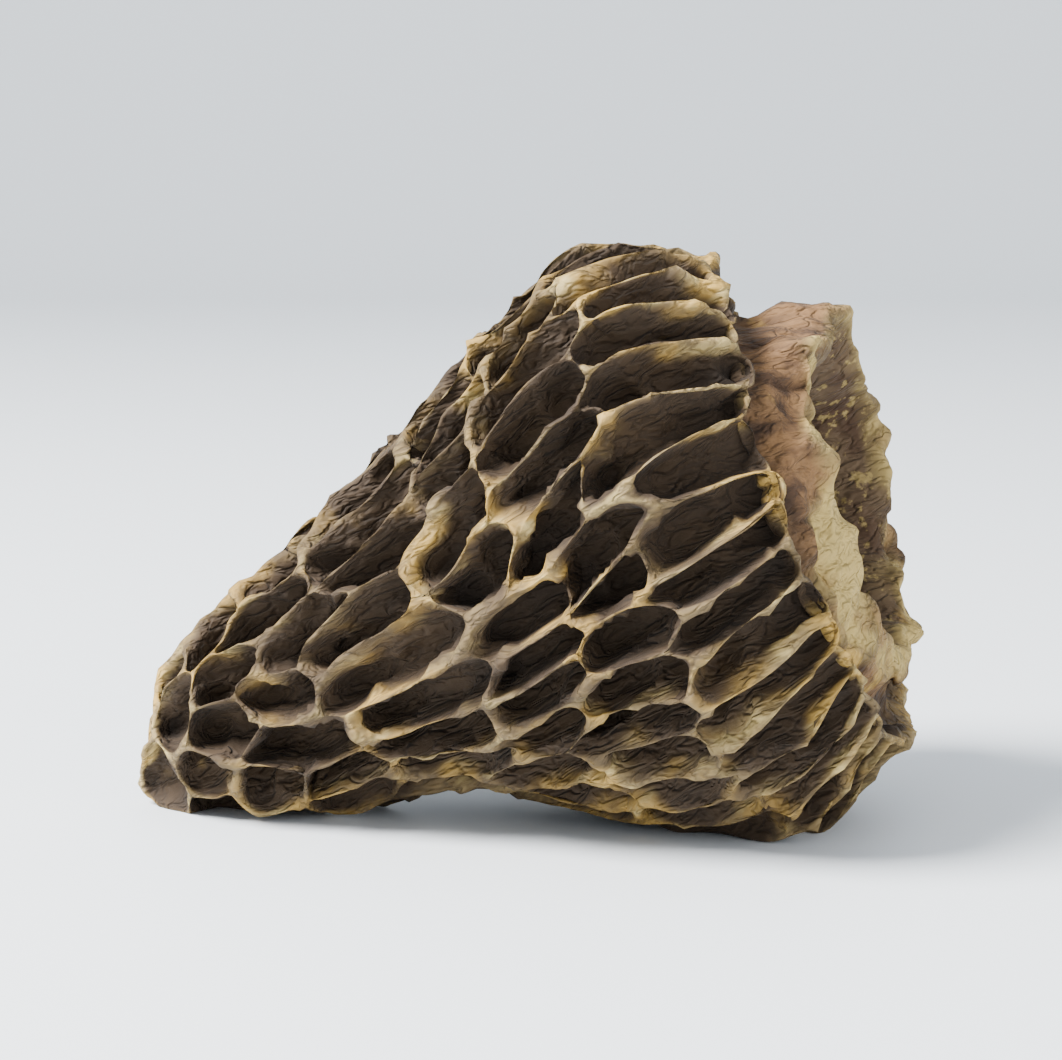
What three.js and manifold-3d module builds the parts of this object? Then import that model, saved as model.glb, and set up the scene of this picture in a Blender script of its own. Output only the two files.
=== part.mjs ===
// A dried morel head as one grown piece: a conical cap with a raised net of ridges round open pits,
// cut off just under its rim, hollow inside, and lying on its side.
// Millimetres and degrees, +Z up. The tip points to -X, the mouth to +X, and it rests on Z = 0.
//
// The cap is drawn in three steps. Pit centres are scattered in rows over a flat disc whose centre is
// the tip and whose edge is the rim, and their Voronoi cells become the pits. The disc is then wrapped
// round the profile of the pit floors, and the cell borders are raised into ridges. Last, the whole
// body is warped as drying does it, laid on its side and cut flat where it touches the ground.

import * as THREE from 'three';
import { ImprovedNoise } from 'three/addons/math/ImprovedNoise.js';
import { mergeVertices } from 'three/addons/utils/BufferGeometryUtils.js';
import Module from 'manifold-3d';

const { degToRad, lerp, seededRandom, smoothstep } = THREE.MathUtils;

// Pit floors: [distance from the tip along the axis, radius], from the tip to the rim.
const FLOOR_PROFILE = [
  [0, 0], [0.3, 0.6], [1.3, 1.05], [4, 1.85], [8.6, 3.7],
  [12.7, 5.7], [16.4, 7.15], [19.3, 7.75], [21.3, 6.8],
];

// Ridges
const RIDGE_HEIGHT = 1.45;
const TIP_RIDGE_HEIGHT = 0.7;
const TIP_REACH = 5; // the ridges have grown to full height this far from the tip
const RIM_RIDGE_HEIGHT = 0.75;
const RIM_REACH = 3; // and start to sink again this far from the rim
const CROSS_RIDGE_SHARE = 0.5; // height of a ridge that runs round the cap, as a share of a lengthwise one
const LOW_RIDGE_SHARE = 0.5; // height of the lowest cross links, as a share of the other ones
const LOW_RIDGE_CHANCE = 0.4;
const HEIGHT_VARIATION = 0.16;
const VARIATION_LENGTH = 1.7;
const RIDGE_LEAN = 0.35; // sideways over upwards
const LEAN_LENGTH = 5;
const RIDGE_WAVE = 0.4; // sideways bend of a ridge between two corners of the net
const WAVE_SHARE = 0.13; // and at most this share of the ridge's length
const SHORTEST_RIDGE = 0.45; // corners of the net closer than this are joined
const RIDGE_STEP = 0.9; // spacing of the points along a ridge

// Pits
const TIP_PIT_WIDTH = 1.05;
const PIT_WIDTH = 1.28;
const WIDE_FROM = 12;
const TIP_PIT_LENGTH = 1.8;
const PIT_LENGTH = 3.5;
const LONG_FROM = 8;
const TIP_PITS = 4;
const PIT_STRETCH = 2.9; // length over width
const ROW_SCATTER = 0.34; // of a pit's length
const TURN_SCATTER = 0.26; // of a pit's width
const EVENING = 0.35; // share of the way that each pit centre is moved to the middle of its pit
const LIP_INSET = 0.2; // from the crest to the shoulder of a ridge
const MOST_LIP = 0.3; // and at most this share of the way to the middle of the pit
const LIP_DROP = 0.82; // height of the shoulder, as a share of the crest's
const WALL_INSET = 0.5; // from the crest to the foot of the pit wall
const MOST_WALL = 0.7;
const WALL_FOOT = 0.12; // height of that foot
const SPINE_SHARE = 0.8; // length of the middle line of a pit, as a share of what keeps it off the walls

// Underside of the rim, stub and mouth: distance from the tip, radius, share of the folds of the stub,
// and share of the rim's own scallops that is left there
const STUB_RINGS = [
  [21.6, 6.3, 0, 0.55], [21.9, 5.8, 0.3, 0.2], [22.3, 5.6, 0.8, 0],
  [22.7, 5.5, 1, 0], [23.1, 5.35, 1, 0], [23.3, 4.95, 1, 0],
  [23.25, 4.5, 0.9, 0], [22.9, 4.15, 0.7, 0], [21.8, 4.0, 0.3, 0],
];
const STUB_FOLDS = 8;
const FOLD_DEPTH = 0.5;
const STUB_SLANT = 14; // the cut is this far off square
const SLANT_FROM = 21.7;
const CUT_ROUGHNESS = 0.5;
const ROUGHNESS_LENGTH = 1.6;

// Hollow: [distance from the tip, radius], from the mouth inwards
const HOLLOW_RINGS = [[20.3, 5.0], [18.6, 5.9], [16, 5.3], [13, 4.0], [10, 2.7], [7.8, 1.7]];
const HOLLOW_END = 6.2;
const HOLLOW_SIDES = 30;

// Drying
const HEAD_LENGTH = 23.6;
const TWIST = -52;
const OVAL_WIDTH = 0.98;
const OVAL_HEIGHT = 1.02;
const ARCH = 0.5; // the middle of the axis stands this far above its ends
const DENT = 0.24; // the underside is drawn in here by this share
const DENT_AT = 9.5;
const DENT_LENGTH = 5;
const WARP = 0.85;
const WARP_LENGTH = 9;
const CRUMPLE = 0.4;
const CRUMPLE_LENGTH = 4.5;

// Lying down
const LIFT = 22.5; // the mouth end of the axis is raised by this
const YAW = 7; // and turned towards -Y by this
const PRESS_HEIGHT = 1.7; // what hangs lower than this is pressed down on the ground
const FLAT_DEPTH = 0.27; // and worn flat by this
const SNAP = 0.06; // points this close to the ground are put on it
const GROUND_SIDE = 80;

const FLESH_COLOUR = 0x6f6047;

const SEED = 48;
const LAYER_STEP = 17.3;
const noise = new ImprovedNoise();
seededRandom(SEED);

const scatter = (amount) => (seededRandom() * 2 - 1) * amount;

// ---- Profile of the pit floors and the flat disc that is wrapped round it ----

const SAMPLES = 600;
const profile = makeProfile();

/** Points along the floor profile: arc length, distance from the tip, radius and radius on the disc. */
function makeProfile() {
  const stations = FLOOR_PROFILE.map(([along, radius]) => new THREE.Vector2(along, radius));
  const curve = new THREE.SplineCurve(stations);
  curve.arcLengthDivisions = SAMPLES;
  const length = curve.getLength();
  const rows = [];
  for (let i = 0; i <= SAMPLES; i++) {
    const point = curve.getPointAt(i / SAMPLES);
    rows.push({ arc: (length * i) / SAMPLES, along: point.x, radius: Math.max(point.y, 0), disc: 0 });
  }
  // Close to the tip the disc keeps its shape. Further out it is stretched lengthwise, as the pits are.
  let logDisc = 0;
  rows[SAMPLES].disc = 1;
  for (let i = SAMPLES - 1; i > 0; i--) {
    const middle = (rows[i].radius + rows[i + 1].radius) / 2;
    const stretch = lerp(1, PIT_STRETCH, smoothstep(rows[i].arc, 0, TIP_REACH));
    logDisc -= (rows[i + 1].arc - rows[i].arc) / (middle * stretch);
    rows[i].disc = Math.exp(logDisc);
  }
  return { rows, length };
}

/** The profile and its direction at a value of one of its keys, carried on straight past the rim. */
function profileAt(key, value) {
  const { rows } = profile;
  let low = 0;
  let high = SAMPLES;
  while (high - low > 1) {
    const middle = (low + high) >> 1;
    if (rows[middle][key] > value) high = middle;
    else low = middle;
  }
  const a = rows[low];
  const b = rows[high];
  const t = (value - a[key]) / (b[key] - a[key]);
  const mix = (name) => lerp(a[name], b[name], t);
  const slope = new THREE.Vector2(b.along - a.along, b.radius - a.radius).normalize();
  return { arc: mix('arc'), along: mix('along'), radius: mix('radius'), disc: mix('disc'), slope };
}

const onAxis = (along, radius, angle) =>
  new THREE.Vector3(along, radius * Math.cos(angle), -radius * Math.sin(angle));

/** A point of the disc on the pit floors, with the unit vectors outwards and along the cap there. */
function onFloor(point) {
  const angle = Math.atan2(point.y, point.x);
  const at = profileAt('disc', point.length());
  return {
    arc: at.arc,
    position: onAxis(at.along, at.radius, angle),
    out: onAxis(-at.slope.y, at.slope.x, angle),
    lengthwise: onAxis(at.slope.x, at.slope.y, angle),
  };
}

// ---- Net of ridges on the disc ----

const pitWidth = (arc) => lerp(TIP_PIT_WIDTH, PIT_WIDTH, smoothstep(arc, 0, WIDE_FROM));
const pitLength = (arc) => lerp(TIP_PIT_LENGTH, PIT_LENGTH, smoothstep(arc, 0, LONG_FROM));

/** Pit centres in staggered rows from the tip to the rim, and the last row mirrored across the rim. */
function scatterPits() {
  const arcs = [];
  for (let arc = TIP_PIT_LENGTH / 2; arc < profile.length; arc += pitLength(arc)) arcs.push(arc);
  const fit = (profile.length - PIT_LENGTH / 2) / arcs.at(-1);
  const pits = [];
  arcs.forEach((arc, row) => {
    const at = profileAt('arc', arc * fit);
    const count = row === 0 ? TIP_PITS : Math.round((2 * Math.PI * at.radius) / pitWidth(at.arc));
    for (let i = 0; i < count; i++) {
      const turn = ((i + (row % 2) / 2 + scatter(TURN_SCATTER)) * 2 * Math.PI) / count;
      const shift = row === 0 ? 0 : scatter(ROW_SCATTER) * pitLength(at.arc);
      const disc = profileAt('arc', Math.min(at.arc + shift, profile.length)).disc;
      pits.push(new THREE.Vector2(disc * Math.cos(turn), disc * Math.sin(turn)));
      if (row === arcs.length - 1) pits.push(pits.at(-1).clone().divideScalar(disc * disc));
    }
  });
  return pits;
}

const FIELD_SIDE = 4; // well outside the disc

/** The part of a convex outline that is nearer to one point than to another. */
function clipNearer(outline, near, far) {
  const away = far.clone().sub(near);
  const middle = near.clone().add(far).multiplyScalar(0.5);
  const side = (point) => point.clone().sub(middle).dot(away);
  const kept = [];
  outline.forEach((point, i) => {
    const next = outline[(i + 1) % outline.length];
    const here = side(point);
    const there = side(next);
    if (here <= 0) kept.push(point);
    if (here < 0 !== there < 0) kept.push(point.clone().lerp(next, here / (here - there)));
  });
  return kept;
}

/** The outline round what is nearer to a centre than to any other one. */
function voronoiCell(centre, centres) {
  const corners = [[-1, -1], [1, -1], [1, 1], [-1, 1]];
  let outline = corners.map(([x, y]) => new THREE.Vector2(x, y).multiplyScalar(FIELD_SIDE));
  for (const other of centres) {
    if (other !== centre) outline = clipNearer(outline, centre, other);
  }
  return outline;
}

function centroid(outline) {
  const sum = new THREE.Vector2();
  let area = 0;
  outline.forEach((a, i) => {
    const b = outline[(i + 1) % outline.length];
    const cross = a.cross(b);
    sum.addScaledVector(a.clone().add(b), cross / 3);
    area += cross;
  });
  return sum.divideScalar(area);
}

/** Voronoi outlines of the pits, after one step that evens out the scatter. */
function pitOutlines() {
  const centres = scatterPits();
  const inside = centres.filter((centre) => centre.length() < 1);
  const moves = inside.map((centre) => centroid(voronoiCell(centre, centres)));
  inside.forEach((centre, i) => centre.lerp(moves[i], EVENING));
  return inside.map((centre) => voronoiCell(centre, centres));
}

// ---- Body: every point and triangle of the closed surface ----

const points = [];
const triangles = [];

function addPoint(position) {
  points.push(position);
  return points.length - 1;
}

/** Two triangles across four points, split along the shorter diagonal. */
function addQuad(a, b, c, d) {
  if (points[a].distanceTo(points[c]) < points[b].distanceTo(points[d])) {
    triangles.push([a, b, c], [a, c, d]);
  } else {
    triangles.push([a, b, d], [b, c, d]);
  }
}

/** A band between a loop and the next one outwards, which may have another number of points. */
function addBand(inner, outer) {
  let i = 0;
  let j = 0;
  while (i < inner.length || j < outer.length) {
    const a = inner[i % inner.length];
    const b = outer[j % outer.length];
    if ((i + 1) / inner.length <= (j + 1) / outer.length) {
      if (inner.length === outer.length) {
        j += 1;
        addQuad(a, b, outer[j % outer.length], inner[(i + 1) % inner.length]);
      } else {
        triangles.push([a, b, inner[(i + 1) % inner.length]]);
      }
      i += 1;
    } else {
      j += 1;
      triangles.push([a, b, outer[j % outer.length]]);
    }
  }
}

/** Smooth noise of a wavelength, from one of several independent layers. */
const noiseAt = (p, length, layer) =>
  noise.noise(p.x / length + layer * LAYER_STEP, p.y / length, p.z / length);

function ridgeHeight(arc) {
  const fromTip = lerp(TIP_RIDGE_HEIGHT, RIDGE_HEIGHT, smoothstep(arc, 0, TIP_REACH));
  const toRim = smoothstep(arc, profile.length - RIM_REACH, profile.length);
  return lerp(fromTip, RIM_RIDGE_HEIGHT, toRim);
}

/** A point of a ridge: where it grows from the pit floors, which way it stands and how high. */
function makeCrest(discPoint, share) {
  const floor = onFloor(discPoint);
  const across = floor.out.clone().cross(floor.lengthwise);
  const way = floor.out.clone();
  way.addScaledVector(across, RIDGE_LEAN * noiseAt(floor.position, LEAN_LENGTH, 1));
  way.addScaledVector(floor.lengthwise, RIDGE_LEAN * noiseAt(floor.position, LEAN_LENGTH, 2));
  way.normalize();
  const variation = 1 + HEIGHT_VARIATION * noiseAt(floor.position, VARIATION_LENGTH, 3);
  const height = ridgeHeight(floor.arc) * share * variation;
  const index = addPoint(floor.position.clone().addScaledVector(way, height));
  return { index, foot: floor.position, way, height, discPoint, out: floor.out };
}

/** Ridges of the net, shared by the pits on both sides of them. */
class RidgeNet {
  corners = [];
  ridges = new Map();

  cornerAt(discPoint) {
    const { position } = onFloor(discPoint);
    const near = this.corners.findIndex((corner) => corner.foot.distanceTo(position) < SHORTEST_RIDGE);
    if (near >= 0) return near;
    this.corners.push(makeCrest(discPoint, 1));
    return this.corners.length - 1;
  }

  /** The crest points between two corners, both left out, from the first corner to the second. */
  between(first, second) {
    const [a, b] = first < second ? [first, second] : [second, first];
    const key = `${a}-${b}`;
    if (!this.ridges.has(key)) this.ridges.set(key, this.growRidge(this.corners[a], this.corners[b]));
    const crests = this.ridges.get(key);
    return first < second ? crests : crests.toReversed();
  }

  growRidge(a, b) {
    const span = b.foot.clone().sub(a.foot);
    const length = span.length();
    const steps = Math.max(1, Math.round(length / RIDGE_STEP));
    const side = b.discPoint.clone().sub(a.discPoint);
    const sideways = new THREE.Vector2(-side.y, side.x).divideScalar(length);
    const middle = onFloor(a.discPoint.clone().lerp(b.discPoint, 0.5));
    const lengthwise = Math.abs(span.normalize().dot(middle.lengthwise));
    let share = lerp(CROSS_RIDGE_SHARE, 1, lengthwise);
    const isLow = seededRandom() < LOW_RIDGE_CHANCE * (1 - lengthwise);
    if (isLow) share *= LOW_RIDGE_SHARE;
    const bend = scatter(Math.min(RIDGE_WAVE, WAVE_SHARE * length));
    const crests = [];
    for (let i = 1; i < steps; i++) {
      const t = i / steps;
      const rise = Math.sin(Math.PI * t);
      const wave = bend * rise ** 2 * (1 + Math.sin(2 * Math.PI * t));
      const at = a.discPoint.clone().lerp(b.discPoint, t).addScaledVector(sideways, wave);
      crests.push(makeCrest(at, lerp(1, share, rise)));
    }
    return crests;
  }

  /** All crest points round a pit. */
  around(outline) {
    const ids = outline.map((corner) => this.cornerAt(corner));
    const corners = ids.filter((id, i) => id !== ids[(i + 1) % ids.length]);
    return corners.flatMap((id, i) => {
      const next = corners[(i + 1) % corners.length];
      return [this.corners[id], ...this.between(id, next)];
    });
  }
}

/** The line down the middle of a pit, which its walls slope towards. */
function pitSpine(loop) {
  const centre = new THREE.Vector3();
  loop.forEach((crest) => centre.addScaledVector(crest.foot, 1 / loop.length));
  const out = new THREE.Vector3();
  loop.forEach((crest) => out.add(crest.out));
  out.normalize();
  let long = new THREE.Vector3();
  for (const a of loop) {
    for (const b of loop) {
      const span = b.foot.clone().sub(a.foot);
      if (span.length() > long.length()) long = span;
    }
  }
  const halfLength = long.length() / 2;
  const along = long.clone().projectOnPlane(out).normalize();
  const across = out.clone().cross(along);
  const halfWidth = Math.max(...loop.map((crest) => Math.abs(crest.foot.clone().sub(centre).dot(across))));
  const reach = SPINE_SHARE * Math.max(halfLength - halfWidth, 0);
  const ends = new THREE.Line3(
    centre.clone().addScaledVector(along, -reach),
    centre.clone().addScaledVector(along, reach),
  );
  return { ends, along, across };
}

/** The walls and floor of one pit, inside its loop of crest points. */
function addPit(loop) {
  const spine = pitSpine(loop);
  const ringAt = (inset, most, heightOf) => loop.map((crest) => {
    const inwards = spine.ends.closestPointToPoint(crest.foot, true, new THREE.Vector3()).sub(crest.foot);
    const share = Math.min(inset / inwards.length(), most);
    const position = crest.foot.clone().addScaledVector(inwards, share);
    return addPoint(position.addScaledVector(crest.way, heightOf(crest)));
  });
  const crests = loop.map((crest) => crest.index);
  const shoulders = ringAt(LIP_INSET, MOST_LIP, (crest) => crest.height * LIP_DROP);
  const feet = ringAt(WALL_INSET, MOST_WALL, () => WALL_FOOT);
  for (const [outer, inner] of [[crests, shoulders], [shoulders, feet]]) {
    outer.forEach((point, i) => {
      const next = (i + 1) % outer.length;
      addQuad(point, outer[next], inner[next], inner[i]);
    });
  }
  fillFloor(feet, spine.along);
}

/** Triangles across a loop, zipped between its two sides from one end of a direction to the other. */
function fillFloor(loop, along) {
  const reach = loop.map((point) => points[point].dot(along));
  const count = loop.length;
  let left = reach.indexOf(Math.max(...reach));
  let right = (left + count - 1) % count;
  for (let i = 0; i < count - 2; i++) {
    const nextLeft = (left + 1) % count;
    const nextRight = (right + count - 1) % count;
    if (reach[nextLeft] > reach[nextRight]) {
      triangles.push([loop[left], loop[nextLeft], loop[right]]);
      left = nextLeft;
    } else {
      triangles.push([loop[nextRight], loop[right], loop[left]]);
      right = nextRight;
    }
  }
}

/** The open edge of the triangles made so far, as one loop. */
function openEdge() {
  const edges = triangles.flatMap(([a, b, c]) => [[a, b], [b, c], [c, a]]);
  const used = new Set(edges.map(([from, to]) => `${from}-${to}`));
  const next = new Map(edges.filter(([from, to]) => !used.has(`${to}-${from}`)));
  const start = next.keys().next().value;
  const loop = [start];
  for (let at = next.get(start); at !== start; at = next.get(at)) loop.push(at);
  return loop;
}

const angleOf = (position) => Math.atan2(-position.z, position.y);

/** Stub, mouth and hollow, ring by ring from the rim of the cap. */
function addStub(rim) {
  const start = angleOf(points[rim[0]]);
  const turns = rim.map((point) => {
    const turn = angleOf(points[point]) - start;
    return turn < -1e-6 ? turn + 2 * Math.PI : turn;
  });
  const slant = Math.tan(degToRad(STUB_SLANT));
  let loop = rim;
  STUB_RINGS.forEach(([along, radius, folds, scallops], ring) => {
    const even = (ring + 1) / STUB_RINGS.length;
    const next = turns.map((turn, i) => {
      const angle = start + lerp(turn, (2 * Math.PI * i) / rim.length, even);
      const fold = Math.sin(STUB_FOLDS * angle + 1.3 * Math.sin(2 * angle)) * FOLD_DEPTH * folds;
      const at = onAxis(along, radius + fold, angle);
      at.x += slant * at.z * smoothstep(along, SLANT_FROM, HEAD_LENGTH);
      at.x += CUT_ROUGHNESS * folds * noiseAt(at.clone().setX(0), ROUGHNESS_LENGTH, 4);
      return addPoint(at.lerp(points[rim[i]], scallops));
    });
    addBand(loop, next);
    loop = next;
  });
  for (const [along, radius] of HOLLOW_RINGS) {
    const next = [];
    for (let i = 0; i < HOLLOW_SIDES; i++) {
      next.push(addPoint(onAxis(along, radius, start + (2 * Math.PI * i) / HOLLOW_SIDES)));
    }
    addBand(loop, next);
    loop = next;
  }
  const end = addPoint(onAxis(HOLLOW_END, 0, 0));
  loop.forEach((point, i) => triangles.push([point, end, loop[(i + 1) % loop.length]]));
}

// ---- Drying, lying down and the flats underneath ----

function warp(position) {
  const share = position.x / HEAD_LENGTH;
  position.applyAxisAngle(new THREE.Vector3(1, 0, 0), degToRad(TWIST) * share);
  position.y *= OVAL_WIDTH;
  position.z *= OVAL_HEIGHT;
  if (position.z < 0) position.z *= 1 - DENT * Math.exp(-(((position.x - DENT_AT) / DENT_LENGTH) ** 2));
  position.z += ARCH * (1 - (2 * share - 1) ** 2);
  const still = position.clone();
  for (const [axis, layer] of [['x', 5], ['y', 6], ['z', 7]]) {
    position[axis] += WARP * noiseAt(still, WARP_LENGTH, layer);
    position[axis] += CRUMPLE * noiseAt(still, CRUMPLE_LENGTH, layer);
  }
}

/** Height above the ground after pressing: level with the ground at first, then rising as before. */
const pressed = (height) =>
  height < PRESS_HEIGHT ? (height ** 2 * (2 * PRESS_HEIGHT - height)) / PRESS_HEIGHT ** 2 : height;

/** Lays the body on its side, its lowest ridges pressed on the ground and the origin under its middle. */
function layDown() {
  const turned = new THREE.Euler(0, degToRad(-LIFT), degToRad(-YAW), 'ZYX');
  points.forEach((position) => position.applyEuler(turned));
  const box = new THREE.Box3().setFromPoints(points);
  const centre = box.getCenter(new THREE.Vector3());
  for (const position of points) {
    position.x -= centre.x;
    position.y -= centre.y;
    const height = position.z - box.min.z;
    position.z = pressed(height) - FLAT_DEPTH;
    if (Math.abs(position.z) < SNAP) position.z = 0;
  }
}

// ---- Solid ----

const wasm = await Module();
wasm.setup();

const makeSolid = (positions, corners) => new wasm.Manifold(new wasm.Mesh({
  numProp: 3,
  vertProperties: Float32Array.from(positions),
  triVerts: Uint32Array.from(corners),
}));

/** The body without what reaches below the ground. */
function cutFlat() {
  const body = makeSolid(points.flatMap((position) => position.toArray()), triangles.flat());
  let ground = new THREE.BoxGeometry(GROUND_SIDE, GROUND_SIDE, GROUND_SIDE).translate(0, 0, -GROUND_SIDE / 2);
  ground.deleteAttribute('normal');
  ground.deleteAttribute('uv');
  ground = mergeVertices(ground);
  const groundSolid = makeSolid(ground.attributes.position.array, ground.index.array);
  const { vertProperties, triVerts } = body.subtract(groundSolid).getMesh();
  const geometry = new THREE.BufferGeometry();
  geometry.setAttribute('position', new THREE.BufferAttribute(vertProperties, 3));
  geometry.setIndex(new THREE.BufferAttribute(triVerts, 1));
  geometry.computeVertexNormals();
  return geometry;
}

const net = new RidgeNet();
for (const outline of pitOutlines()) addPit(net.around(outline));
addStub(openEdge());
points.forEach(warp);
layDown();

const flesh = new THREE.MeshStandardMaterial({ color: FLESH_COLOUR, roughness: 0.85, metalness: 0 });
const head = new THREE.Mesh(cutFlat(), flesh);
head.name = 'morel_head';

const morel = new THREE.Group();
morel.add(head);

export default morel;
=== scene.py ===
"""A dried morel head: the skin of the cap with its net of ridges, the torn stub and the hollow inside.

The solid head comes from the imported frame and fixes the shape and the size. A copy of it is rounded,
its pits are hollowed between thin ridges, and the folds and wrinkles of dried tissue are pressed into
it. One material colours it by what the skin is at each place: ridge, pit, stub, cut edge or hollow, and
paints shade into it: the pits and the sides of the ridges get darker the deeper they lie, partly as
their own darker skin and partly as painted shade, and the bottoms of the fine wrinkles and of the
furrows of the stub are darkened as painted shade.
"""

import math

import bmesh
import bpy
from mathutils import Matrix, Vector, kdtree, noise
from mathutils.bvhtree import BVHTree


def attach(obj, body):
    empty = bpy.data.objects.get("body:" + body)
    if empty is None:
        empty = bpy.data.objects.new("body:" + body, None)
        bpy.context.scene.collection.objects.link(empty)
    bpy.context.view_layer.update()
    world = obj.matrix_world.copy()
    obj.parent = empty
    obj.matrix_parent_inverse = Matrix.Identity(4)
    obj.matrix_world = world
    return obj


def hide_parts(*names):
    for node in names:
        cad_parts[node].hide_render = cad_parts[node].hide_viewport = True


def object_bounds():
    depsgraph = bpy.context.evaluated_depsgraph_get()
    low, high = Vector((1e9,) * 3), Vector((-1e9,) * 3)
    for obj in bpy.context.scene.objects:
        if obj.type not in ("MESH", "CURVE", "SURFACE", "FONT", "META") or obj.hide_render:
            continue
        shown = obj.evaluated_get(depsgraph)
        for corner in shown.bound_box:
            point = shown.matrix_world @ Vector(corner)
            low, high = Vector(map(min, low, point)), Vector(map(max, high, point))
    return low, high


bl_info = {
    "name": "Dried Morel Head",
    "version": (1, 0, 0),
    "blender": (4, 5, 0),
    "location": "View3D > Sidebar > Morel",
    "description": "Grows the wrinkled skin of a dried morel head and lays it on a pale floor",
    "category": "Add Mesh",
}

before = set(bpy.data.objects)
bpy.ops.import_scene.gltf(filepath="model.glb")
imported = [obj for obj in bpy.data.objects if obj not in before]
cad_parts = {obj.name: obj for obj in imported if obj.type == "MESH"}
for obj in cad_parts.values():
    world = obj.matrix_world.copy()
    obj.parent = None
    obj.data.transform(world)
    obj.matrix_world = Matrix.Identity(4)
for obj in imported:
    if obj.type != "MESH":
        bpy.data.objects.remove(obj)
SOLID_LOW, SOLID_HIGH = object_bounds()

MM = 0.001

# The line through the hollow cap, from its closed tip to the middle of the open end
TIP = Vector((-11.4, 2.1, 1.2)) * MM
OPEN_END = Vector((10.3, -0.6, 10.2)) * MM
AXIS = (OPEN_END - TIP).normalized()

# Distances from the tip along that line, in millimetres
LOW_RIDGES_TO = 5.0
HOLLOW_FROM = 5.0
STUB_FROM = 20.6

# Distances from that line, in millimetres
RIM_EDGE = 7.4
RIM_UNDERSIDE = 6.5
STUB_RADIUS = 5.9
LIP_RADIUS = 5.45

# What is written on each vertex of the copied solid
PLACES = ("ridge", "stub", "cut", "lip", "hollow")

# At the tip and further up: the heights of the solid's ridges above its pits, and how far round a
# vertex the skin is averaged to tell the one from the other, in millimetres
TIP_RIDGE, RIDGE = 0.7, 1.45
TIP_REACH, REACH = 0.9, 1.3

# Heights over that average, in heights of a ridge: the floor of a pit and the top of a ridge
PIT_LEVEL, TOP_LEVEL = -0.36, 0.54

# The most that a vertex counts as ridge
MOST_RIDGE = 0.8

# Distances from the lip of the stub over which the pale cut edge and the pinch fade out, in millimetres
CUT_FROM, CUT_TO = 0.1, 0.6
PINCH_FROM, PINCH_TO = 0.2, 1.5

# Wavelength in millimetres and layer of each kind of noise
WAVES = {
    "crumple": (2.4, 0),
    "nibble": (0.9, 1),
    "fold": (1.5, 2),
    "wrinkle": (0.5, 3),
    "furrow": (1.2, 4),
    "stub_grain": (0.5, 5),
    "tear": (1.7, 6),
    "fine_tear": (0.6, 7),
    "furrow_depth": (2.6, 8),
    "swelling": (0.9, 9),
}
NOISE_SEED = 48

# Wavelengths of the sideways bends of the ridges and of the furrows
SWAY_WAVE = 1.3 * MM
FURROW_BEND_WAVE = 1.5 * MM

# How far the furrows of the stub bend, in millimetres, and how fast they change along it
FURROW_BEND = 0.3
FURROW_CHANGE = 0.12

# How strong the relief of the cap is at its tip, and how strong the wrinkles are in the hollow
TIP_RELIEF = 0.5
HOLLOW_WRINKLES = 0.6

# How many times longer than wide the wrinkles and the folds are
WRINKLE_STRETCH = 3.0
FOLD_STRETCH = 1.6

# A wall keeps its middle: each side moves in by no more than this share of its thickness
INWARD_SHARE = 0.38
THICKEST = 3 * MM
SHARPEST_FOLD = math.radians(115)

# Up to this height the skin moves less and less, so that it rests where the solid does
RESTING_HEIGHT = 0.5 * MM

# Floor and backdrop, in metres
SWEEP_WIDTH = 1.2
SWEEP_FRONT, SWEEP_BACK = -0.6, 0.45
SWEEP_HEIGHT = 0.6
SWEEP_BEND = 0.16
SWEEP_SEGMENTS = 16

# Places and widths of the lamps, in metres
KEY_AT, KEY_WIDTH = (-0.16, -0.07, 0.2), 0.12
FILL_AT, FILL_WIDTH = (0.2, -0.16, 0.1), 0.16


def between(value, low, high):
    """0 below low, 1 above high and a smooth step between them."""
    share = min(max((value - low) / (high - low), 0.0), 1.0)
    return share * share * (3.0 - 2.0 * share)


def mix(a, b, share):
    return a + (b - a) * share


# ---- Sizes and colours that a user would change ----


def length(name, description, millimetres):
    return bpy.props.FloatProperty(
        name=name, description=description, default=millimetres * MM, unit="LENGTH"
    )


def colour(name, description, value):
    return bpy.props.FloatVectorProperty(
        name=name, description=description, subtype="COLOR", size=4, min=0, max=1, default=(*value, 1.0)
    )


class MorelShape(bpy.types.PropertyGroup):
    """Sizes of the dried skin, on top of what the solid has."""

    smoothing: bpy.props.IntProperty(
        name="Smoothing", description="Rounds of subdivision of the solid's faces", default=2, min=1, max=3
    )
    pit_depth: length("Pit Depth", "How much deeper the pits get", 0.34)
    wall_hollow: length("Wall Hollow", "How much the sides of a ridge are drawn in", 0.16)
    crest_nibble: length("Crest Nibble", "Ups and downs along the top of a ridge", 0.34)
    crest_swell: length("Crest Swell", "Thickness of the swollen places of the crests", 0.15)
    ridge_sway: length("Ridge Sway", "How far the ridges sway sideways", 0.32)
    pit_folds: length("Pit Folds", "Height of the thin folds across the pits", 0.42)
    crumple: length("Crumple", "Uneven drying of the whole skin", 0.14)
    wrinkles: length("Wrinkles", "Depth of the fine lengthwise wrinkles", 0.07)
    stub_folds: length("Stub Folds", "Depth of the lengthwise folds of the stub", 0.32)
    lip_pinch: length("Lip Pinch", "How much each side of the cut edge has shrunk", 0.36)
    rim_groove: length("Rim Groove", "Depth of the groove between the rim and the stub", 0.6)
    torn_edge: length("Torn Edge", "Raggedness of the cut edge of the stub", 0.55)
    easing: bpy.props.IntProperty(
        name="Easing", description="Rounds of smoothing of the sharpest folds", default=6, min=0, max=20
    )


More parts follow.
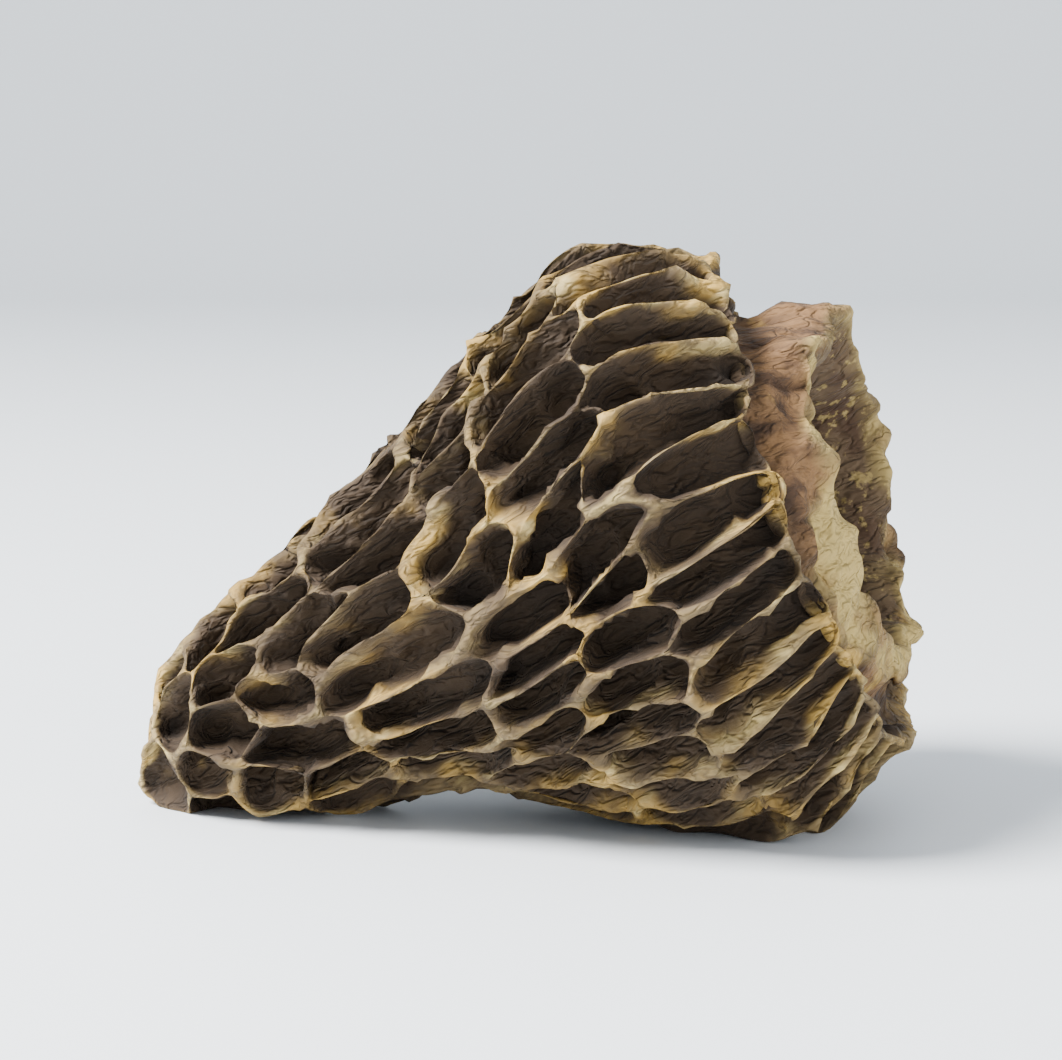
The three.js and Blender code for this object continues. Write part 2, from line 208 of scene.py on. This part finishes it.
class MorelColours(bpy.types.PropertyGroup):
    """Colours of the dried skin."""

    # Pit and Wall: darker the deeper the skin lies, partly the pits' own darker skin and partly painted
    # shade of their depth. Pit is also painted as shade into the wrinkle bottoms of the cap.
    pit: colour("Pit", "Bottom of the pits", (0.013, 0.0072, 0.0032))
    wall: colour("Wall", "Sides of the ridges", (0.046, 0.026, 0.0105))
    crest: colour("Crest", "Tops of the ridges", (0.268, 0.184, 0.071))
    pale: colour("Pale Crest", "Rubbed and bleached places of the ridges", (0.52, 0.385, 0.145))
    ochre: colour("Ochre", "Yellow places of the ridges and the stub", (0.45, 0.275, 0.058))
    stub: colour("Stub", "Smooth skin of the stub", (0.185, 0.096, 0.037))
    # Darker brown of the stub's streaks and the hollow's patches, and also the painted shade in the bottoms
    # of the stub's furrows
    dark_skin_and_furrow_shade: colour("Stub Shade", "Folds of the stub", (0.05, 0.0235, 0.0095))
    cut: colour("Cut Edge", "Pale flesh along the cut", (0.42, 0.3, 0.098))
    hollow: colour("Hollow", "Skin of the hollow inside", (0.1, 0.062, 0.031))


class MorelStage(bpy.types.PropertyGroup):
    """Floor, light and camera."""

    floor: colour("Floor", "Pale floor and backdrop", (0.78, 0.81, 0.83))
    camera_height: bpy.props.FloatProperty(
        name="Camera Height",
        description="Angle of the view above the horizon",
        default=math.radians(7.5),
        subtype="ANGLE",
    )
    camera_distance: length("Camera Distance", "From the camera to the middle of the head", 86.0)
    lens: bpy.props.FloatProperty(name="Lens", description="Focal length", default=100.0, unit="CAMERA")
    key_power: bpy.props.FloatProperty(
        name="Key Light", description="Power of the key softbox", default=3.2, unit="POWER"
    )
    fill_power: bpy.props.FloatProperty(
        name="Fill Light", description="Power of the fill softbox", default=0.3, unit="POWER"
    )
    sky: bpy.props.FloatProperty(
        name="Sky", description="Strength of the even light all round", default=1.15
    )
    sky_tint: colour("Sky Tint", "Colour of the even light all round", (0.86, 0.92, 1.0))


# ---- The head ----


def copy_of_solid():
    """The solid's own faces as a merged bmesh of mostly four-sided faces."""
    mesh = bmesh.new()
    mesh.from_mesh(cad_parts["morel_head"].data)
    bmesh.ops.remove_doubles(mesh, verts=mesh.verts, dist=0.001 * MM)
    bmesh.ops.join_triangles(
        mesh,
        faces=mesh.faces,
        angle_face_threshold=math.radians(50),
        angle_shape_threshold=math.radians(60),
    )
    mesh.normal_update()
    return mesh


def searchable(vertices):
    """A tree that finds the vertices near a point."""
    tree = kdtree.KDTree(len(vertices))
    for i, vertex in enumerate(vertices):
        tree.insert(vertex.co, i)
    tree.balance()
    return tree


def from_axis(point):
    """The vector from the line through the hollow to the point, square to that line."""
    from_tip = point - TIP
    return from_tip - AXIS * from_tip.dot(AXIS)


def on_lip(vertex):
    """Whether the vertex is on the cut face of the stub."""
    near_end = (vertex.co - TIP).dot(AXIS) > STUB_FROM * MM
    return near_end and vertex.normal.dot(AXIS) > 0.8 and from_axis(vertex.co).length < LIP_RADIUS * MM


def name_the_places(mesh):
    """Writes on each vertex how much it is ridge, stub, cut edge, lip and hollow inside."""
    mesh.verts.ensure_lookup_table()
    tree = searchable(mesh.verts)
    lip = searchable([vertex for vertex in mesh.verts if on_lip(vertex)])
    layers = {name: mesh.verts.layers.float.new(name) for name in PLACES}
    for vertex in mesh.verts:
        along = (vertex.co - TIP).dot(AXIS) / MM
        growth = between(along, 0, LOW_RIDGES_TO)
        near = [mesh.verts[i] for _, i, _ in tree.find_range(vertex.co, mix(TIP_REACH, REACH, growth) * MM)]
        near = [other for other in near if other.normal.dot(vertex.normal) > -0.1]
        middle = sum((other.co for other in near), Vector()) / len(near)
        facing = sum((other.normal for other in near), Vector()).normalized()
        height = (vertex.co - middle).dot(facing) / MM / mix(TIP_RIDGE, RIDGE, growth)
        ridge = (height - PIT_LEVEL) / (TOP_LEVEL - PIT_LEVEL)

        radial = from_axis(vertex.co)
        at_end = between(along, STUB_FROM, STUB_FROM + 1)
        faces_axis = between(-facing.dot(radial.normalized()), -0.1, 0.5)
        hollow = faces_axis * between(along, HOLLOW_FROM, HOLLOW_FROM + 1)
        stub = between(radial.length / MM, RIM_UNDERSIDE, STUB_RADIUS) * at_end * (1 - hollow)
        from_lip = lip.find(vertex.co)[2] / MM
        vertex[layers["ridge"]] = min(max(ridge, 0), MOST_RIDGE) * (1 - stub) * (1 - hollow)
        vertex[layers["stub"]] = stub
        vertex[layers["cut"]] = between(from_lip, CUT_TO, CUT_FROM)
        vertex[layers["lip"]] = between(from_lip, PINCH_TO, PINCH_FROM)
        vertex[layers["hollow"]] = hollow


def rounded(mesh, levels):
    """A mesh data block of the bmesh after that many rounds of subdivision."""
    data = bpy.data.meshes.new("morel_head_rounded")
    mesh.to_mesh(data)
    mesh.free()
    helper = bpy.data.objects.new("morel_head_rounding", data)
    bpy.context.scene.collection.objects.link(helper)
    modifier = helper.modifiers.new("Rounding", "SUBSURF")
    modifier.levels = levels
    modifier.render_levels = levels
    graph = bpy.context.evaluated_depsgraph_get()
    result = bpy.data.meshes.new_from_object(helper.evaluated_get(graph))
    bpy.data.objects.remove(helper)
    bpy.data.meshes.remove(data)
    return result


def squeezed(point, stretch):
    """The point with its distance along the head shrunk, so that noise on it runs lengthwise."""
    along = (point - TIP).dot(AXIS)
    return point - AXIS * along * (1 - 1 / stretch)


def waves(point, kind):
    """Smooth noise of that kind, from -1 to 1. The layers lie far apart, so that no two kinds are alike."""
    wavelength, layer = WAVES[kind]
    return noise.noise(point / (wavelength * MM) + Vector((layer * 13.7, layer * 5.3, 0)))


def thickness(tree, point, normal):
    """How thick the flesh is behind the point."""
    distance = tree.ray_cast(point - normal * 0.01 * MM, -normal, THICKEST)[3]
    return THICKEST if distance is None else distance


def cap_relief(point, ridge, shape):
    """How far the skin of the cap moves out: deeper pits with folds, drawn-in walls and uneven crests."""
    pit = 1 - ridge
    relief = -shape.pit_depth * pit ** 1.5
    relief -= shape.wall_hollow * 4 * ridge * pit
    relief += shape.crest_nibble * waves(point, "nibble") * ridge ** 2
    swollen = between(ridge, 0.3, 0.6) * between(waves(point, "swelling"), -0.25, 0.3)
    relief += shape.crest_swell * swollen
    fold = (1 - abs(waves(squeezed(point, FOLD_STRETCH), "fold"))) ** 7
    return relief + shape.pit_folds * fold * pit ** 0.5


def stub_furrow(point):
    """The lengthwise furrows of the stub: 1 along their bottoms, and fainter in some places."""
    around = from_axis(point).normalized() * STUB_RADIUS * MM + (point - TIP) * FURROW_CHANGE
    around += noise.noise_vector(point / FURROW_BEND_WAVE) * FURROW_BEND * MM
    depth = mix(0.3, 1.1, between(waves(point, "furrow_depth"), -0.3, 0.3))
    return (1 - abs(waves(around, "furrow"))) ** 4 * depth


def groove_under_rim(point, along, faces_end):
    """The groove between the rim and the stub, 1 along its bottom."""
    radius = from_axis(point).length / MM
    groove = between(radius, LIP_RADIUS, STUB_RADIUS + 0.3) * between(radius, RIM_EDGE, RIM_UNDERSIDE)
    return groove * between(faces_end, 0.1, 0.7) * between(along, STUB_FROM, STUB_FROM + 1)


def dry_skin(mesh, shape):
    """Moves the vertices as drying moves skin: deep pits, thin uneven ridges, folds and wrinkles."""
    noise.seed_set(NOISE_SEED)
    mesh.attributes.new("furrow", "FLOAT", "POINT")
    furrows = mesh.attributes["furrow"].data
    places = [mesh.attributes[name].data for name in PLACES]
    normals = [normal.vector.copy() for normal in mesh.vertex_normals]
    tree = BVHTree.FromPolygons([v.co for v in mesh.vertices], [face.vertices for face in mesh.polygons])
    for i, vertex in enumerate(mesh.vertices):
        point = vertex.co.copy()
        normal = normals[i]
        ridge, stub, cut, lip, hollow = (min(max(place[i].value, 0), 1) for place in places)
        cap = max(1 - stub - hollow, 0)
        along = (point - TIP).dot(AXIS) / MM
        growth = mix(TIP_RELIEF, 1.0, between(along, 0, LOW_RIDGES_TO))
        faces_end = normal.dot(AXIS)
        furrow = stub_furrow(point)
        # The furrow depth written here is what the material paints shade into the furrow bottoms from
        furrows[i].value = furrow * stub

        move = shape.crumple * waves(point, "crumple")
        move += cap_relief(point, ridge, shape) * cap * growth
        wrinkle = waves(squeezed(point, WRINKLE_STRETCH), "wrinkle")
        move += shape.wrinkles * wrinkle * (cap + HOLLOW_WRINKLES * hollow)
        stub_fold = 0.35 * waves(point, "stub_grain") - furrow
        move += shape.stub_folds * stub_fold * stub * mix(1, 0.7, cut)
        move -= shape.lip_pinch * lip * (1 - abs(faces_end))
        move -= shape.rim_groove * groove_under_rim(point, along, faces_end)
        move = max(move, -INWARD_SHARE * thickness(tree, point, normal))

        sway = noise.noise_vector(point / SWAY_WAVE) * shape.ridge_sway * ridge * cap
        sway -= normal * sway.dot(normal)
        tear = waves(point, "tear") + 0.5 * waves(point, "fine_tear") - 0.3 * furrow
        torn = AXIS * shape.torn_edge * tear * cut

        moved = point + (normal * move + sway + torn) * between(point.z, 0, RESTING_HEIGHT)
        moved.z = max(moved.z, 0)
        vertex.co = moved
    mesh.update()


def ease_folds(data, rounds):
    """Evens out the few places where the moves have folded the skin on itself."""
    mesh = bmesh.new()
    mesh.from_mesh(data)
    for _ in range(rounds):
        folded = [edge for edge in mesh.edges if edge.calc_face_angle(0) > SHARPEST_FOLD]
        ends = {vertex.index for edge in folded for vertex in edge.verts}
        bmesh.ops.smooth_vert(
            mesh,
            verts=[vertex for vertex in mesh.verts if vertex.index in ends],
            factor=0.5,
            use_axis_x=True,
            use_axis_y=True,
            use_axis_z=True,
        )
    mesh.to_mesh(data)
    mesh.free()
    data.update()


# ---- Material ----


def new_group(name, inputs, outputs):
    """An empty shader node group with those sockets, and its input and output nodes."""
    group = bpy.data.node_groups.new(name, "ShaderNodeTree")
    for socket, kind in inputs:
        group.interface.new_socket(name=socket, in_out="INPUT", socket_type=kind)
    for socket, kind in outputs:
        group.interface.new_socket(name=socket, in_out="OUTPUT", socket_type=kind)
    return group, group.nodes.new("NodeGroupInput"), group.nodes.new("NodeGroupOutput")


def noise_node(tree, vector, per_metre, detail=4.0, roughness=0.55):
    """A noise texture with that many waves in a metre."""
    node = tree.nodes.new("ShaderNodeTexNoise")
    node.inputs["Scale"].default_value = per_metre
    node.inputs["Detail"].default_value = detail
    node.inputs["Roughness"].default_value = roughness
    tree.links.new(vector, node.inputs["Vector"])
    return node.outputs["Fac"]


def math_node(tree, operation, a, b=None):
    """The result of the operation on one or two values, each a socket or a number."""
    node = tree.nodes.new("ShaderNodeMath")
    node.operation = operation
    for socket, value in zip(node.inputs, (a, b)):
        if isinstance(value, bpy.types.NodeSocket):
            tree.links.new(value, socket)
        elif value is not None:
            socket.default_value = value
    return node.outputs[0]


def range_node(tree, value, low, high, to_low=0.0, to_high=1.0):
    """A smooth step from to_low, where the value is low, to to_high, where it is high."""
    node = tree.nodes.new("ShaderNodeMapRange")
    node.interpolation_type = "SMOOTHSTEP"
    tree.links.new(value, node.inputs["Value"])
    for name, number in (("From Min", low), ("From Max", high), ("To Min", to_low), ("To Max", to_high)):
        node.inputs[name].default_value = number
    return node.outputs["Result"]


def mix_colours(tree, share, a, b):
    """A mix of two colours, each a socket or a value."""
    node = tree.nodes.new("ShaderNodeMix")
    node.data_type = "RGBA"
    node.clamp_factor = True
    tree.links.new(share, node.inputs["Factor"])
    for socket, value in ((node.inputs[6], a), (node.inputs[7], b)):
        if isinstance(value, bpy.types.NodeSocket):
            tree.links.new(value, socket)
        else:
            socket.default_value = value
    return node.outputs[2]


def attribute(tree, name):
    """What is written on the vertices under that name."""
    node = tree.nodes.new("ShaderNodeAttribute")
    node.attribute_type = "GEOMETRY"
    node.attribute_name = name
    return node.outputs["Fac"]


def fine_wrinkles_group():
    """Height of the wrinkles and grain of dry skin, and a mask of the wrinkle bottoms, where shade is
    painted.
    """
    group, given, made = new_group(
        "Fine Wrinkles",
        [
            ("Vector", "NodeSocketVector"),
            ("Wrinkle Size", "NodeSocketFloat"),
            ("Grain Size", "NodeSocketFloat"),
        ],
        [("Height", "NodeSocketFloat"), ("Crease Shade", "NodeSocketFloat")],
    )
    wrinkles = group.nodes.new("ShaderNodeTexNoise")
    wrinkles.inputs["Detail"].default_value = 2.0
    wrinkles.inputs["Distortion"].default_value = 0.4
    grain = group.nodes.new("ShaderNodeTexNoise")
    grain.inputs["Detail"].default_value = 3.0
    for node, size in ((wrinkles, "Wrinkle Size"), (grain, "Grain Size")):
        group.links.new(given.outputs["Vector"], node.inputs["Vector"])
        group.links.new(math_node(group, "DIVIDE", 1.0, given.outputs[size]), node.inputs["Scale"])
    from_middle = math_node(group, "SUBTRACT", wrinkles.outputs["Fac"], 0.5)
    from_crease = math_node(group, "ABSOLUTE", from_middle)
    swell = range_node(group, from_crease, 0.0, 0.13)
    rough = math_node(group, "MULTIPLY", grain.outputs["Fac"], 0.4)
    group.links.new(math_node(group, "ADD", swell, rough), made.inputs["Height"])
    # The second output masks the wrinkle bottoms, where the cap paints shade
    group.links.new(range_node(group, from_crease, 0.06, 0.0), made.inputs["Crease Shade"])
    return group


def place_wrinkles(tree, group, vector, wrinkle_size, grain_size):
    """The wrinkles of a group placed on the skin, with their sizes in metres."""
    node = tree.nodes.new("ShaderNodeGroup")
    node.node_tree = group
    tree.links.new(vector, node.inputs["Vector"])
    node.inputs["Wrinkle Size"].default_value = wrinkle_size
    node.inputs["Grain Size"].default_value = grain_size
    return node


def lengthwise_mapping(tree, place):
    """The place with the direction of the cap's axis shrunk, so that patterns on it run lengthwise."""
    mapping = tree.nodes.new("ShaderNodeMapping")
    mapping.vector_type = "TEXTURE"
    mapping.inputs["Location"].default_value = TIP
    mapping.inputs["Rotation"].default_value = AXIS.to_track_quat("X", "Z").to_euler()
    mapping.inputs["Scale"].default_value = (2.6, 1.0, 1.0)
    tree.links.new(place, mapping.inputs["Vector"])
    return mapping.outputs["Vector"]


def skin_patterns(tree):
    """The masks and noises that the colour and the relief of the skin are mixed from."""
    place = tree.nodes.new("ShaderNodeTexCoord").outputs["Object"]
    lengthwise = lengthwise_mapping(tree, place)
    wrinkles = fine_wrinkles_group()
    patterns = {name: attribute(tree, name) for name in ("ridge", "stub", "cut", "hollow", "furrow")}
    patterns["broad"] = noise_node(tree, place, per_metre=190.0, detail=3.0)
    patterns["patches"] = noise_node(tree, place, per_metre=420.0)
    patterns["speckle"] = noise_node(tree, place, per_metre=2600.0, detail=3.0, roughness=0.6)
    patterns["streaks"] = noise_node(tree, lengthwise, per_metre=1300.0, roughness=0.6)
    cap_wrinkles = place_wrinkles(tree, wrinkles, lengthwise, wrinkle_size=0.42 * MM, grain_size=0.12 * MM)
    stub_wrinkles = place_wrinkles(tree, wrinkles, lengthwise, wrinkle_size=0.8 * MM, grain_size=0.16 * MM)
    patterns["cap_height"] = cap_wrinkles.outputs["Height"]
    patterns["cap_creases"] = cap_wrinkles.outputs["Crease Shade"]
    patterns["stub_height"] = stub_wrinkles.outputs["Height"]
    uneven = math_node(tree, "MULTIPLY", math_node(tree, "SUBTRACT", patterns["patches"], 0.5), 0.4)
    patterns["top"] = math_node(tree, "ADD", patterns["ridge"], uneven)
    return patterns


def cap_colour(tree, patterns, colours):
    """Pits and walls darker the deeper they lie, partly their own skin and partly painted shade; pale
    crests, bleached in places and ochre in others; painted shade along the wrinkle bottoms.
    """
    top, patches = patterns["top"], patterns["patches"]
    # Partly the pits' own darker skin and partly painted shade: darker from the crests down to the pit
    # bottoms
    skin = mix_colours(tree, range_node(tree, top, 0.05, 0.6), colours.pit[:], colours.wall[:])
    crest = mix_colours(tree, range_node(tree, patches, 0.46, 0.6), colours.crest[:], colours.ochre[:])
    bleached = range_node(tree, patterns["streaks"], 0.5, 0.66)
    crest = mix_colours(tree, bleached, crest, colours.pale[:])
    worn = range_node(tree, patterns["broad"], 0.3, 0.5, 0.6, 1.0)
    worn = math_node(tree, "MULTIPLY", range_node(tree, top, 0.46, 0.76), worn)
    skin = mix_colours(tree, worn, skin, crest)
    # Painted shade: the bottoms of the fine wrinkles are darkened towards the pit colour
    creases = math_node(tree, "MULTIPLY", patterns["cap_creases"], 0.4)
    return mix_colours(tree, creases, skin, colours.pit[:])


def stub_colour(tree, patterns, colours):
    """Brown skin with darker streaks and ochre patches."""
    streaks = range_node(tree, patterns["streaks"], 0.36, 0.62)
    skin = mix_colours(tree, streaks, colours.dark_skin_and_furrow_shade[:], colours.stub[:])
    return mix_colours(tree, range_node(tree, patterns["patches"], 0.56, 0.66), skin, colours.ochre[:])


def hollow_colour(tree, patterns, colours):
    """Brown skin with pale scurf."""
    patches = range_node(tree, patterns["patches"], 0.38, 0.6)
    skin = mix_colours(tree, patches, colours.dark_skin_and_furrow_shade[:], colours.hollow[:])
    scurf = range_node(tree, patterns["speckle"], 0.56, 0.68, 0.0, 0.6)
    return mix_colours(tree, scurf, skin, colours.cut[:])


def skin_relief(tree, patterns):
    """Normals of the wrinkles and grain that are too fine for the mesh."""
    grain = math_node(tree, "MULTIPLY", patterns["speckle"], 0.25)
    height = math_node(tree, "ADD", patterns["cap_height"], grain)
    stub_height = math_node(tree, "MULTIPLY", patterns["stub_height"], patterns["stub"])
    bump = tree.nodes.new("ShaderNodeBump")
    bump.inputs["Strength"].default_value = 1.0
    bump.inputs["Distance"].default_value = 0.08 * MM
    tree.links.new(math_node(tree, "ADD", height, stub_height), bump.inputs["Height"])
    return bump.outputs["Normal"]


def dried_skin_material(colours):
    """The colours of cap, stub, hollow and cut edge, blended by what is written on the vertices, with
    painted shade in the stub's furrows.
    """
    material = bpy.data.materials.new("dried_skin")
    material.use_nodes = True
    tree = material.node_tree
    shader = tree.nodes["Principled BSDF"]
    patterns = skin_patterns(tree)

    skin = cap_colour(tree, patterns, colours)
    skin = mix_colours(tree, patterns["stub"], skin, stub_colour(tree, patterns, colours))
    skin = mix_colours(tree, patterns["hollow"], skin, hollow_colour(tree, patterns, colours))
    pale = range_node(tree, patterns["patches"], 0.4, 0.56, 0.25, 1.0)
    skin = mix_colours(tree, math_node(tree, "MULTIPLY", patterns["cut"], pale), skin, colours.cut[:])
    # Painted shade: the bottoms of the stub's furrows are darkened
    furrow = range_node(tree, patterns["furrow"], 0.35, 0.95, 0.0, 0.85)
    skin = mix_colours(tree, furrow, skin, colours.dark_skin_and_furrow_shade[:])

    tree.links.new(skin, shader.inputs["Base Color"])
    tree.links.new(range_node(tree, patterns["top"], 0.3, 0.95, 0.86, 0.62), shader.inputs["Roughness"])
    tree.links.new(skin_relief(tree, patterns), shader.inputs["Normal"])
    shader.inputs["Specular IOR Level"].default_value = 0.4
    return material


class MOREL_OT_grow_head(bpy.types.Operator):
    """Grow the wrinkled skin of the morel head on its solid"""

    bl_idname = "morel.grow_head"
    bl_label = "Grow Head"

    def execute(self, context):
        shape = context.scene.morel_shape
        mesh = copy_of_solid()
        name_the_places(mesh)
        data = rounded(mesh, shape.smoothing)
        data.name = "morel_skin"
        dry_skin(data, shape)
        ease_folds(data, shape.easing)
        data.shade_smooth()
        data.materials.clear()
        data.materials.append(dried_skin_material(context.scene.morel_colours))
        skin = bpy.data.objects.new("morel_skin", data)
        context.scene.collection.objects.link(skin)
        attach(skin, "root")
        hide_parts("morel_head")
        return {"FINISHED"}


# ---- Stage ----


def plain_material(name, value, roughness):
    material = bpy.data.materials.new(name)
    material.use_nodes = True
    shader = material.node_tree.nodes["Principled BSDF"]
    shader.inputs["Base Color"].default_value = value
    shader.inputs["Roughness"].default_value = roughness
    return material


def add_sweep(context, stage):
    """A floor that bends up into a backdrop."""
    mesh = bmesh.new()
    bmesh.ops.create_grid(mesh, x_segments=1, y_segments=1, size=0.5, matrix=Matrix.Identity(4))
    for vertex in mesh.verts:
        vertex.co.x *= SWEEP_WIDTH
        vertex.co.y = SWEEP_FRONT if vertex.co.y < 0 else SWEEP_BACK
    back_edge = [edge for edge in mesh.edges if all(vertex.co.y > 0 for vertex in edge.verts)]
    grown = bmesh.ops.extrude_edge_only(mesh, edges=back_edge)["geom"]
    raised = [piece for piece in grown if isinstance(piece, bmesh.types.BMVert)]
    bmesh.ops.translate(mesh, verts=raised, vec=(0, 0, SWEEP_HEIGHT))
    bmesh.ops.bevel(
        mesh,
        geom=[edge for edge in mesh.edges if all(v.co.z == 0 and v.co.y > 0 for v in edge.verts)],
        offset=SWEEP_BEND,
        offset_type="OFFSET",
        affect="EDGES",
        segments=SWEEP_SEGMENTS,
        profile=0.5,
        material=-1,
    )
    data = bpy.data.meshes.new("sweep")
    mesh.to_mesh(data)
    mesh.free()
    data.shade_smooth()
    data.materials.append(plain_material("pale_floor", tuple(stage.floor), 0.55))
    sweep = bpy.data.objects.new("sweep", data)
    context.scene.collection.objects.link(sweep)


def add_softbox(context, name, at, target, width, power):
    """A round soft lamp that points at the target."""
    light = bpy.data.lights.new(name, "AREA")
    light.shape = "DISK"
    light.size = width
    light.energy = power
    lamp = bpy.data.objects.new(name, light)
    lamp.location = at
    lamp.rotation_euler = (Vector(target) - Vector(at)).to_track_quat("-Z", "Y").to_euler()
    context.scene.collection.objects.link(lamp)


def add_sky(context, stage):
    """The even light all round."""
    world = bpy.data.worlds.new("studio")
    world.use_nodes = True
    background = world.node_tree.nodes["Background"]
    background.inputs["Color"].default_value = stage.sky_tint
    background.inputs["Strength"].default_value = stage.sky
    context.scene.world = world


def add_camera(context, stage, target):
    """A camera in front of the target, looking at it from a little above."""
    view = bpy.data.cameras.new("camera")
    view.lens = stage.lens
    view.clip_start = stage.camera_distance / 10
    camera = bpy.data.objects.new("camera", view)
    back = Vector((0, -math.cos(stage.camera_height), math.sin(stage.camera_height)))
    camera.location = target + back * stage.camera_distance
    camera.rotation_euler = (-back).to_track_quat("-Z", "Y").to_euler()
    context.scene.collection.objects.link(camera)
    context.scene.camera = camera


class MOREL_OT_set_stage(bpy.types.Operator):
    """Set the pale floor, the soft studio light and the camera"""

    bl_idname = "morel.set_stage"
    bl_label = "Set Stage"

    def execute(self, context):
        stage = context.scene.morel_stage
        middle = (SOLID_LOW + SOLID_HIGH) / 2
        add_sweep(context, stage)
        add_softbox(context, "key_light", KEY_AT, middle, KEY_WIDTH, stage.key_power)
        add_softbox(context, "fill_light", FILL_AT, middle, FILL_WIDTH, stage.fill_power)
        add_sky(context, stage)
        add_camera(context, stage, middle)
        return {"FINISHED"}


# ---- Add-on ----


class MOREL_PT_panel(bpy.types.Panel):
    """Steps and settings of the morel head"""

    bl_idname = "MOREL_PT_panel"
    bl_label = "Dried Morel Head"
    bl_space_type = "VIEW_3D"
    bl_region_type = "UI"
    bl_category = "Morel"

    def draw(self, context):
        scene = context.scene
        steps = (
            (MOREL_OT_grow_head, (scene.morel_shape, scene.morel_colours)),
            (MOREL_OT_set_stage, (scene.morel_stage,)),
        )
        for step, groups in steps:
            box = self.layout.box()
            for group in groups:
                for name in group.__annotations__:
                    box.prop(group, name)
            box.operator(step.bl_idname)


CLASSES = (MorelShape, MorelColours, MorelStage, MOREL_OT_grow_head, MOREL_OT_set_stage, MOREL_PT_panel)


def register():
    for cls in CLASSES:
        bpy.utils.register_class(cls)
    bpy.types.Scene.morel_shape = bpy.props.PointerProperty(type=MorelShape)
    bpy.types.Scene.morel_colours = bpy.props.PointerProperty(type=MorelColours)
    bpy.types.Scene.morel_stage = bpy.props.PointerProperty(type=MorelStage)


def unregister():
    del bpy.types.Scene.morel_shape
    del bpy.types.Scene.morel_colours
    del bpy.types.Scene.morel_stage
    for cls in reversed(CLASSES):
        bpy.utils.unregister_class(cls)


def main():
    register()
    bpy.ops.morel.grow_head()
    bpy.ops.morel.set_stage()


if __name__ == "__main__":
    main()
